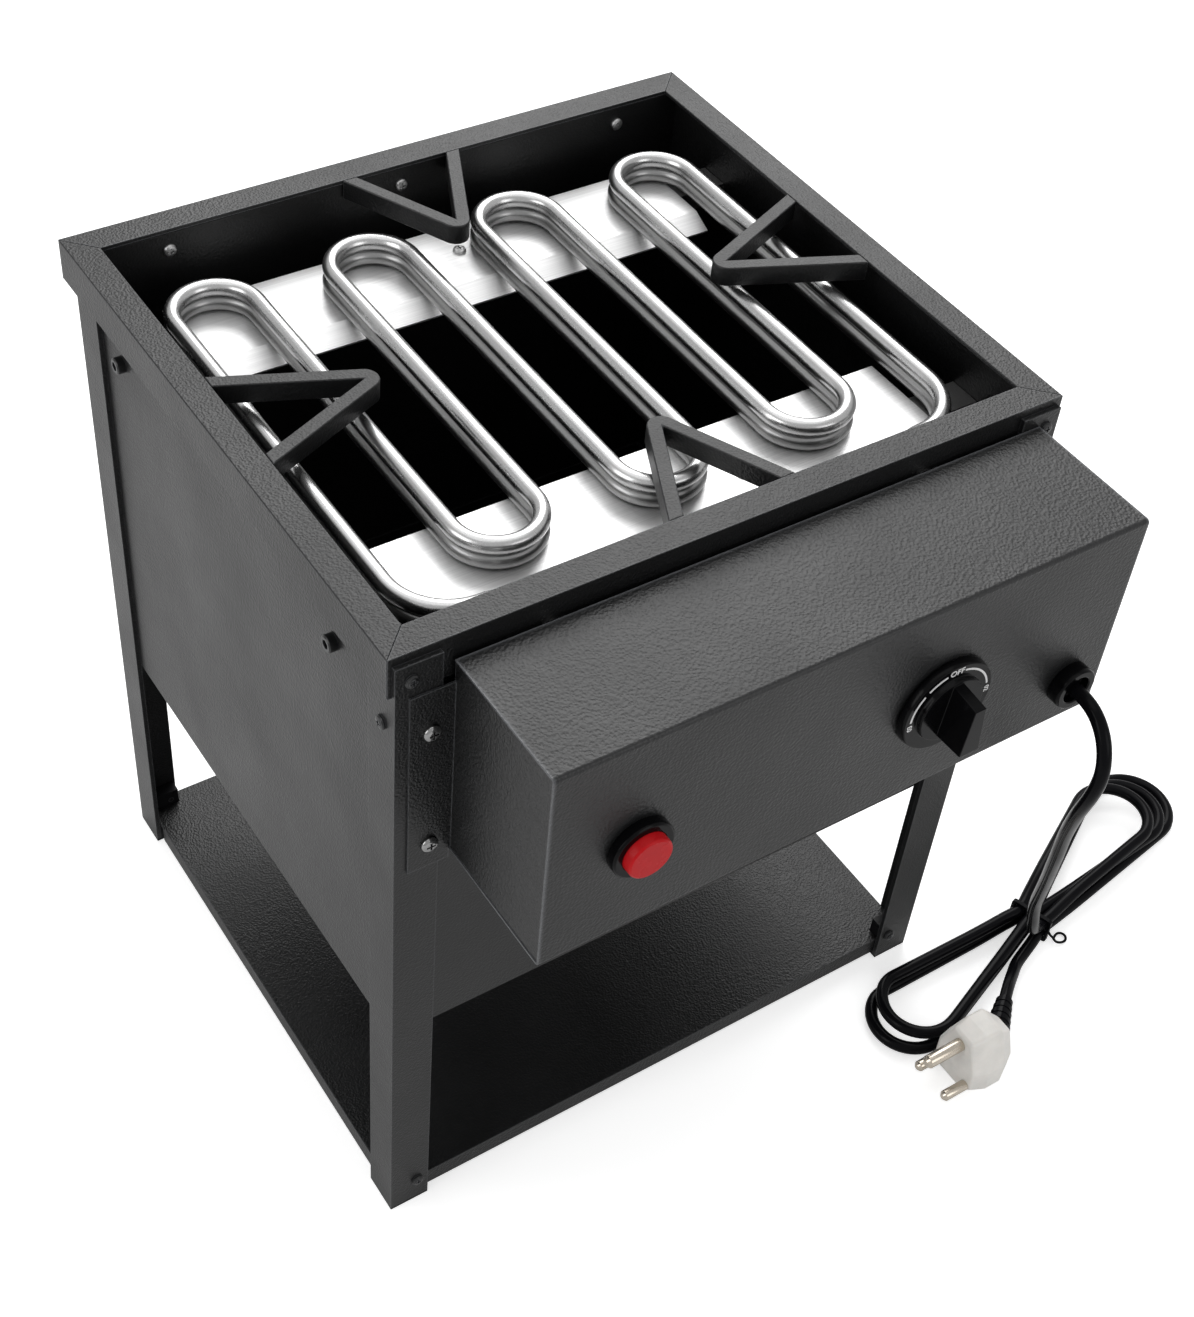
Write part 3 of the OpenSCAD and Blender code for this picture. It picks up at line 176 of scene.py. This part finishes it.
# three light passes of averaging take out the small kinks where stretches join
for _ in range(3):
    dense = [dense[0]] + [dense[i] * 0.5 + (dense[i - 1] + dense[i + 1]) * 0.25
                          for i in range(1, len(dense) - 1)] + [dense[-1]]
cord_points = [P(*p) for p in dense]

curve = bpy.data.curves.new("mains_lead", "CURVE")
curve.dimensions = "3D"
curve.bevel_depth = 1.0          # scaled by each point's radius, which the bounding box also adds
curve.bevel_resolution = 5
curve.use_fill_caps = True
spl = curve.splines.new("POLY")
spl.points.add(len(cord_points) - 1)
for sp, p in zip(spl.points, cord_points):
    sp.co = (p.x, p.y, p.z, 1)
    sp.radius = CORD_D / 2 * MM
spl.use_smooth = True
lead_obj = bpy.data.objects.new("mains_lead", curve)
bpy.context.scene.collection.objects.link(lead_obj)
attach(lead_obj, "stand")
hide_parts("cord_lead", "cord_hank", "cord_tail")


# ---------------------------------------------------------------- materials
def new_mat(name):
    """A node material: itself, its tree and its Principled shader."""
    m = bpy.data.materials.new(name)
    m.use_nodes = True
    nt = m.node_tree
    return m, nt, nt.nodes["Principled BSDF"]


def link(nt, a, b):
    """Join two sockets."""
    nt.links.new(a, b)


def coords(nt, scale=(1, 1, 1)):
    """Object coordinates, scaled."""
    tc = nt.nodes.new("ShaderNodeTexCoord")
    mp = nt.nodes.new("ShaderNodeMapping")
    mp.inputs["Scale"].default_value = scale
    link(nt, tc.outputs["Object"], mp.inputs["Vector"])
    return mp.outputs["Vector"]


def noise(nt, vec, scale, detail, rough):
    """A noise texture's value."""
    n = nt.nodes.new("ShaderNodeTexNoise")
    n.inputs["Scale"].default_value = scale
    n.inputs["Detail"].default_value = detail
    n.inputs["Roughness"].default_value = rough
    link(nt, vec, n.inputs["Vector"])
    return n.outputs["Fac"]


def ramp(nt, fac, stops):
    """A colour ramp through (position, colour) stops."""
    r = nt.nodes.new("ShaderNodeValToRGB")
    while len(r.color_ramp.elements) < len(stops):
        r.color_ramp.elements.new(0.5)
    for e, (pos, col) in zip(r.color_ramp.elements, stops):
        e.position = pos
        e.color = (*col, 1)
    link(nt, fac, r.inputs["Fac"])
    return r.outputs["Color"]


def span(nt, fac, lo, hi, a, b):
    """lo to hi mapped onto a to b."""
    m = nt.nodes.new("ShaderNodeMapRange")
    m.inputs["From Min"].default_value = lo
    m.inputs["From Max"].default_value = hi
    m.inputs["To Min"].default_value = a
    m.inputs["To Max"].default_value = b
    link(nt, fac, m.inputs["Value"])
    return m.outputs["Result"]


def mixed(nt, fac, a, b):
    """a blended into b by fac; each is a number, a colour or a socket."""
    m = nt.nodes.new("ShaderNodeMix")
    m.data_type = "RGBA"
    for sock, val in ((m.inputs[0], fac), (m.inputs[6], a), (m.inputs[7], b)):
        if isinstance(val, (int, float)):
            sock.default_value = val
        elif isinstance(val, tuple):
            sock.default_value = (*val, 1)
        else:
            link(nt, val, sock)
    return m.outputs[2]


def bump(nt, height, strength, dist, under=None):
    """A bumped normal, on top of the one under it."""
    b = nt.nodes.new("ShaderNodeBump")
    b.inputs["Strength"].default_value = strength
    b.inputs["Distance"].default_value = dist
    link(nt, height, b.inputs["Height"])
    if under is not None:
        link(nt, under, b.inputs["Normal"])
    return b.outputs["Normal"]


def edge_mask(nt, radius):
    """1 on sharp outer edges, 0 on flats, from the difference between rounded and true normals."""
    bv = nt.nodes.new("ShaderNodeBevel")
    bv.samples = 4
    bv.inputs["Radius"].default_value = radius
    geo = nt.nodes.new("ShaderNodeNewGeometry")
    dot = nt.nodes.new("ShaderNodeVectorMath")
    dot.operation = "DOT_PRODUCT"
    link(nt, bv.outputs["Normal"], dot.inputs[0])
    link(nt, geo.outputs["Normal"], dot.inputs[1])
    return span(nt, dot.outputs["Value"], 0.97, 0.72, 0.0, 1.0)


COAT = 0.006                  # how light the black paint is, the same on every face
COAT_SPEC = 0.45              # its gloss


def powder_coat(name, base=COAT, tint=(0.97, 1.0, 1.06), rough=0.4, grain=0.5, cell=720, edge_wear_and_highlight=0.35,
                edge_rub_and_highlight_tone=0.22, edge_r=0.0013):
    """Leather-grained black powder coat, one colour all round, with its edges painted paler: a
    painted highlight along folds and edges, partly also rubbed paint.
    """
    m, nt, p = new_mat(name)
    vec = coords(nt)
    warp = noise(nt, vec, cell * 0.45, 3, 0.6)
    shift = nt.nodes.new("ShaderNodeVectorMath")
    shift.operation = "MULTIPLY_ADD"
    shift.inputs[1].default_value = (0.0022, 0.0022, 0.0022)
    link(nt, warp, shift.inputs[0])
    link(nt, vec, shift.inputs[2])
    leather = nt.nodes.new("ShaderNodeTexVoronoi")
    leather.feature = "SMOOTH_F1"
    leather.inputs["Scale"].default_value = cell
    leather.inputs["Smoothness"].default_value = 0.7
    link(nt, shift.outputs[0], leather.inputs["Vector"])
    cells = leather.outputs["Distance"]
    fine = noise(nt, vec, 2600, 2, 0.5)
    cloud = noise(nt, vec, 14, 4, 0.55)
    relief = bump(nt, cells, grain, 0.0006)
    link(nt, bump(nt, fine, grain * 0.4, 0.00008, relief), p.inputs["Normal"])
    tone = mixed(nt, span(nt, cloud, 0.3, 0.7, 0.0, 1.0), tuple(base * 0.88 * t for t in tint),
                 tuple(base * 1.12 * t for t in tint))
    # edges painted paler through the edge mask: painted highlight along folds and edges, partly also
    # rubbed paint
    rubbed_and_highlit = mixed(nt, edge_mask(nt, edge_r), tone, tuple(edge_rub_and_highlight_tone * t for t in tint))
    link(nt, mixed(nt, edge_wear_and_highlight, tone, rubbed_and_highlit), p.inputs["Base Color"])
    link(nt, span(nt, cloud, 0.25, 0.75, rough - 0.05, rough + 0.06), p.inputs["Roughness"])
    p.inputs["Specular IOR Level"].default_value = COAT_SPEC
    return m


def metal(name, base, rough, streak=None, streak_strength=0.15, tint=(1, 1, 1), aniso=0.0,
          wobble=0.06):
    """Bare metal, brushed along streak when it is given as noise scales along x, y and z."""
    m, nt, p = new_mat(name)
    p.inputs["Metallic"].default_value = 1.0
    vec = coords(nt)
    cloud = noise(nt, vec, 30, 4, 0.6)
    if streak:
        sv = coords(nt, streak)
        lines = noise(nt, sv, 1.0, 5, 0.65)
    else:
        lines = noise(nt, vec, 1500, 3, 0.6)
    nrm = bump(nt, lines, streak_strength, 0.00006)
    nrm = bump(nt, cloud, 0.05, 0.0006, nrm)
    link(nt, nrm, p.inputs["Normal"])
    a = tuple(base * 0.9 * t for t in tint)
    b = tuple(min(1, base * 1.08 * t) for t in tint)
    col = ramp(nt, lines, [(0.3, a), (0.7, b)])
    link(nt, col, p.inputs["Base Color"])
    link(nt, span(nt, cloud, 0.3, 0.7, rough - wobble, rough + wobble), p.inputs["Roughness"])
    p.inputs["Anisotropic"].default_value = aniso
    return m


def plastic(name, colour, rough, coat=0.4, grain=0.04, grain_scale=900, sss=0.0, spec=0.5):
    """Moulded plastic or rubber with a fine grain and slightly uneven gloss."""
    m, nt, p = new_mat(name)
    vec = coords(nt)
    g = noise(nt, vec, grain_scale, 3, 0.55)
    cloud = noise(nt, vec, 60, 4, 0.6)
    link(nt, bump(nt, g, grain, 0.0001), p.inputs["Normal"])
    a = tuple(c * 0.92 for c in colour)
    b = tuple(min(1, c * 1.06) for c in colour)
    link(nt, ramp(nt, cloud, [(0.3, a), (0.7, b)]), p.inputs["Base Color"])
    link(nt, span(nt, cloud, 0.3, 0.7, rough * 0.75, rough * 1.25), p.inputs["Roughness"])
    p.inputs["Coat Weight"].default_value = coat
    p.inputs["Coat Roughness"].default_value = 0.08
    p.inputs["Specular IOR Level"].default_value = spec
    if sss:
        p.inputs["Subsurface Weight"].default_value = sss
        p.inputs["Subsurface Radius"].default_value = (0.002, 0.0012, 0.001)
        p.inputs["Subsurface Scale"].default_value = 0.5
    return m


COAT_TOP = powder_coat("coat_frame", grain=0.45, edge_wear_and_highlight=0.6, edge_rub_and_highlight_tone=0.25)
COAT_BAR = powder_coat("coat_supports", grain=0.35, edge_wear_and_highlight=0.6, edge_rub_and_highlight_tone=0.25)
COAT_PANEL = powder_coat("coat_panel")
# the box's coat has a wider edge mask, so its lid folds get a broad painted highlight
COAT_BOX = powder_coat("coat_box", grain=0.45, cell=620, edge_wear_and_highlight=0.6, edge_rub_and_highlight_tone=0.3, edge_r=0.003)
COAT_END = powder_coat("coat_box_end", edge_wear_and_highlight=0.5, edge_rub_and_highlight_tone=0.25)
COAT_LEG = powder_coat("coat_leg", grain=0.4)
COAT_SHELF = powder_coat("coat_shelf", edge_wear_and_highlight=0.5, edge_rub_and_highlight_tone=0.2)
# the inner walls, back, box back and floor pan get the same coat at 0.6 of its lightness: painted
# shade for the dark well, not a different paint
COAT_IN_SHADED = powder_coat("coat_inside_painted_shade", COAT * 0.6, grain=0.3, edge_wear_and_highlight=0.1)
TUBE = metal("steel_tube", 0.58, 0.27, None, 0.01, wobble=0.02)
# the lower tube layer gets darker steel (0.34 against 0.58): painted shade for the tube lying under
# the upper one, not a different metal
TUBE_LOW_SHADED = metal("steel_tube_lower_shaded", 0.34, 0.32, None, 0.01, wobble=0.02)
PLATE = metal("steel_plate", 0.9, 0.48, (6, 1400, 600), 0.12, aniso=0.3)
ZINC = metal("zinc_steel", 0.5, 0.38, None, 0.12)
BRIGHT = metal("bright_screw", 0.34, 0.14, None, 0.05)
BRASS = metal("nickel_brass", 0.62, 0.24, None, 0.08, tint=(1.0, 0.9, 0.76))
BLACK_SCREW = powder_coat("black_screw", rough=0.3, grain=0.1, edge_wear_and_highlight=0.5)
GLOSS_BLACK = plastic("gloss_black", (0.0025, 0.0025, 0.003), 0.16, 0.0, spec=0.1)
SATIN_BLACK = plastic("satin_black", (0.008, 0.008, 0.009), 0.34, 0.0, 0.08, spec=0.15)
RED = plastic("red_plastic", (0.56, 0.008, 0.012), 0.3, 0.0, 0.03, sss=0.03, spec=0.12)
WHITE_MARK = plastic("white_mark", (0.86, 0.86, 0.86), 0.5, 0.0, 0.05)
SWITCH = plastic("switch_plastic", (0.7, 0.66, 0.56), 0.45, 0.1, 0.1)
CERAMIC = plastic("ceramic", (0.85, 0.83, 0.78), 0.25, 0.5, 0.03)
RUBBER = plastic("black_rubber", (0.004, 0.004, 0.005), 0.2, 0.0, 0.05, 1400, spec=0.07)
IVORY = plastic("ivory_plastic", (0.88, 0.855, 0.81), 0.36, 0.1, 0.08, 1600, sss=0.06)

BY_SLOT = {
    "painted_frame": COAT_TOP, "painted_panel": COAT_PANEL, "element_tube": TUBE,
    "element_plate": PLATE, "zinc_steel": ZINC, "bright_screw": BRIGHT, "black_screw": BLACK_SCREW,
    "black_plastic": GLOSS_BLACK, "red_plastic": RED, "white_mark": WHITE_MARK,
    "switch_plastic": SWITCH, "ceramic": CERAMIC, "brass": BRASS, "black_rubber": RUBBER,
    "ivory_plastic": IVORY,
}
BY_NODE = {
    "leg_front_left": COAT_LEG, "leg_front_right": COAT_LEG, "leg_rear_left": COAT_LEG,
    "leg_rear_right": COAT_LEG, "shelf": COAT_SHELF, "front_panel": COAT_IN_SHADED, "floor_pan": COAT_IN_SHADED,
    "back_panel": COAT_IN_SHADED, "box_shell": COAT_BOX, "box_end_left": COAT_END,
    "box_end_right": COAT_END, "box_back": COAT_IN_SHADED, "feet": SATIN_BLACK,
    "button_nut": SATIN_BLACK, "gland_nut": SATIN_BLACK, "element_lower": TUBE_LOW_SHADED,
    "support_front": COAT_BAR, "support_rear": COAT_BAR, "support_left": COAT_BAR,
    "support_right": COAT_BAR, "side_panel_right": COAT_IN_SHADED,
}
for row in frame["record"]["subparts"]:
    ob = NODES[row["node"]]
    ob.data.materials.clear()
    ob.data.materials.append(BY_NODE.get(row["node"], BY_SLOT[row["material_slot"]]))
lead_obj.data.materials.append(RUBBER)

# widths in mm of the rounded edges on the CAD pieces that show
BEVELS = {
    "rail_front": 0.7, "rail_rear": 0.7, "rail_left": 0.7, "rail_right": 0.7,
    "support_front": 0.8, "support_rear": 0.8, "support_left": 0.8, "support_right": 0.8,
    "leg_front_left": 0.6, "leg_front_right": 0.6, "leg_rear_left": 0.6, "leg_rear_right": 0.6,
    "shelf": 0.4, "side_panel_left": 0.3, "side_panel_right": 0.3, "box_end_left": 0.35,
    "box_end_right": 0.35, "box_shell": 0.3, "plate_rear": 0.3, "plate_front": 0.3,
    "knob": 0.9, "button_bezel": 0.4, "button_cap": 0.5, "plug_body": 2.2, "feet": 0.6,
    "gland": 0.4, "plug_pins": 0.3, "cross_screws": 0.3, "box_screws": 0.25,
}
for name, width in BEVELS.items():
    ob = NODES[name]
    wd = ob.modifiers.new("weld", "WELD")
    wd.merge_threshold = 1e-6
    flat = ob.modifiers.new("flats", "DECIMATE")
    flat.decimate_type = "DISSOLVE"
    flat.angle_limit = math.radians(0.4)
    bv = ob.modifiers.new("edges", "BEVEL")
    bv.width = width * MM
    bv.segments = 3
    bv.limit_method = "ANGLE"
    bv.angle_limit = math.radians(38)
    bv.harden_normals = True
    bv.use_clamp_overlap = True


# ---------------------------------------------------------------- trim
def outline_mesh(cu):
    """The mesh of a curve or text; the outline itself is removed."""
    tmp = bpy.data.objects.new(cu.name + "_outline", cu)
    bpy.context.scene.collection.objects.link(tmp)
    deps = bpy.context.evaluated_depsgraph_get()
    me = bpy.data.meshes.new_from_object(tmp.evaluated_get(deps))
    bpy.data.objects.remove(tmp)
    return me


def solid(name, me, material, body):
    """A new piece from a mesh, riding on a body."""
    ob = bpy.data.objects.new(name, me)
    bpy.context.scene.collection.objects.link(ob)
    me.materials.clear()
    me.materials.append(material)
    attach(ob, body)
    return ob


KNOB_X, KNOB_Z = 65, 385.5
MARK_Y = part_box("knob_marks")[0][1]   # face of the printed arcs, in metres
MARK_R = 24.2                 # how far out the letters stand


def lettering(name, text, angle, height, radius):
    """Raised letters on the knob's skirt, their feet towards its middle."""
    cu = bpy.data.curves.new(name, "FONT")
    cu.body = text
    cu.size = height * 1.4 * MM
    cu.extrude = 0.12 * MM
    cu.offset = 0.05 * MM
    cu.align_x = "CENTER"
    cu.align_y = "CENTER"
    me = outline_mesh(cu)
    a = math.radians(angle)
    outward = Vector((math.cos(a), 0, math.sin(a)))
    along = Vector((math.sin(a), 0, -math.cos(a)))
    face = Vector((0, -1, 0))
    place = Matrix((along, outward, face)).transposed().to_4x4()
    centre = P(KNOB_X, 0, KNOB_Z) + outward * radius * MM
    centre.y = MARK_Y + 0.05 * MM
    me.transform(Matrix.Translation(centre) @ place)
    return solid(name, me, WHITE_MARK, "knob")


lettering("mark_off", "OFF", 90, 3.7, MARK_R)
lettering("mark_low", "02", 3, 3.0, MARK_R)
lettering("mark_high", "03", 188, 3.0, MARK_R)


def wire(name, points, diameter, material):
    """A bent wire as a mesh, along a smooth path of points in metres."""
    cu = bpy.data.curves.new(name, "CURVE")
    cu.dimensions = "3D"
    cu.bevel_depth = diameter / 2 * MM
    cu.bevel_resolution = 3
    cu.use_fill_caps = True
    sp = cu.splines.new("NURBS")
    sp.points.add(len(points) - 1)
    for q, c in zip(sp.points, points):
        q.co = (c[0], c[1], c[2], 1)
    sp.order_u = 4
    sp.use_endpoint_u = True
    me = outline_mesh(cu)
    for f in me.polygons:
        f.use_smooth = True
    return solid(name, me, material, "stand")


# the wire tie's twisted ends, bent into an eye on the floor side of the hank
tie_path = [P(*H(u, v, z)) for u, v, z in (
    (0, -12.5, 12), (1, -14.5, 10), (0, -16.5, 8), (2, -18.5, 6), (1, -21, 4), (4, -24, 2.2),
    (9, -26, 1.4), (13, -23.5, 1.4), (12.5, -19, 1.8), (8, -17.5, 2.6), (3, -19, 3.6))]
wire("tie_tail", tie_path, 1.8, RUBBER)

# ---------------------------------------------------------------- floor and light
GLOSSY_SHARE = 0.22           # how much of the white surroundings a reflection shows
FLOOR_LIFT = 0.56             # what the floor adds of its own to the camera's white
WORLD_LIGHT = 0.5             # what the surroundings light the object with
FLOOR_WHITE, FLOOR_GREY = 0.93, 0.7
FLOOR_SIZE = 30


def shown_white(nt, plain, pale, out):
    """pale to the camera and through glass, a share of it in reflections, and plain otherwise."""
    seen = nt.nodes.new("ShaderNodeLightPath")
    either = nt.nodes.new("ShaderNodeMath")
    either.operation = "MAXIMUM"
    link(nt, seen.outputs["Is Camera Ray"], either.inputs[0])
    link(nt, seen.outputs["Is Transmission Ray"], either.inputs[1])
    gloss = nt.nodes.new("ShaderNodeMath")
    gloss.operation = "MULTIPLY_ADD"
    gloss.inputs[1].default_value = GLOSSY_SHARE
    link(nt, seen.outputs["Is Glossy Ray"], gloss.inputs[0])
    link(nt, either.outputs[0], gloss.inputs[2])
    mx = nt.nodes.new("ShaderNodeMixShader")
    link(nt, gloss.outputs[0], mx.inputs["Fac"])
    link(nt, plain, mx.inputs[1])
    link(nt, pale, mx.inputs[2])
    link(nt, mx.outputs[0], out.inputs["Surface"])


bpy.ops.mesh.primitive_plane_add(size=FLOOR_SIZE, location=(0, 0, 0))
floor = bpy.context.object
floor.name = "floor"
m, nt, p = new_mat("floor")
white = nt.nodes.new("ShaderNodeBsdfDiffuse")
white.inputs["Color"].default_value = (FLOOR_WHITE, FLOOR_WHITE, FLOOR_WHITE, 1)
lift = nt.nodes.new("ShaderNodeEmission")
lift.inputs["Strength"].default_value = FLOOR_LIFT
pale = nt.nodes.new("ShaderNodeAddShader")
link(nt, white.outputs[0], pale.inputs[0])
link(nt, lift.outputs[0], pale.inputs[1])
plain = nt.nodes.new("ShaderNodeBsdfDiffuse")
plain.inputs["Color"].default_value = (FLOOR_GREY, FLOOR_GREY, FLOOR_GREY, 1)
shown_white(nt, plain.outputs[0], pale.outputs[0], nt.nodes["Material Output"])
floor.data.materials.append(m)

world = bpy.data.worlds.new("world")
bpy.context.scene.world = world
world.use_nodes = True
nt = world.node_tree
bg = nt.nodes["Background"]
bg.inputs["Color"].default_value = (1, 1, 1, 1)
bg.inputs["Strength"].default_value = WORLD_LIGHT
bg_cam = nt.nodes.new("ShaderNodeBackground")
bg_cam.inputs["Color"].default_value = (1, 1, 1, 1)
bg_cam.inputs["Strength"].default_value = 1.0
shown_white(nt, bg.outputs[0], bg_cam.outputs[0], nt.nodes["World Output"])


def area(name, loc, target, size, power):
    """A square white lamp of size metres and power watts, turned to its target."""
    d = bpy.data.lights.new(name, "AREA")
    d.energy = power
    d.shape = "SQUARE"
    d.size = size
    ob = bpy.data.objects.new(name, d)
    bpy.context.scene.collection.objects.link(ob)
    ob.location = loc
    ob.rotation_euler = (Vector(target) - Vector(loc)).to_track_quat("-Z", "Y").to_euler()


area("top", (0.1, 0.6, 2.6), (0, 0, 0.3), 2.4, 14)
area("left", (-2.6, 0.2, 1.5), (0, 0, 0.25), 1.8, 24)
# the rear lamp stands where the flat tops mirror it to the camera, 3 m from the frame
FRAME_MID = Vector((0, 0, 0.4))
away = FRAME_MID - cam.location
away.z = -away.z
area("rear", FRAME_MID + away.normalized() * 3.0, FRAME_MID, 2.0, 46)
area("fill", (0.9, -2.6, 1.5), (0.1, 0, 0.25), 1.6, 12)
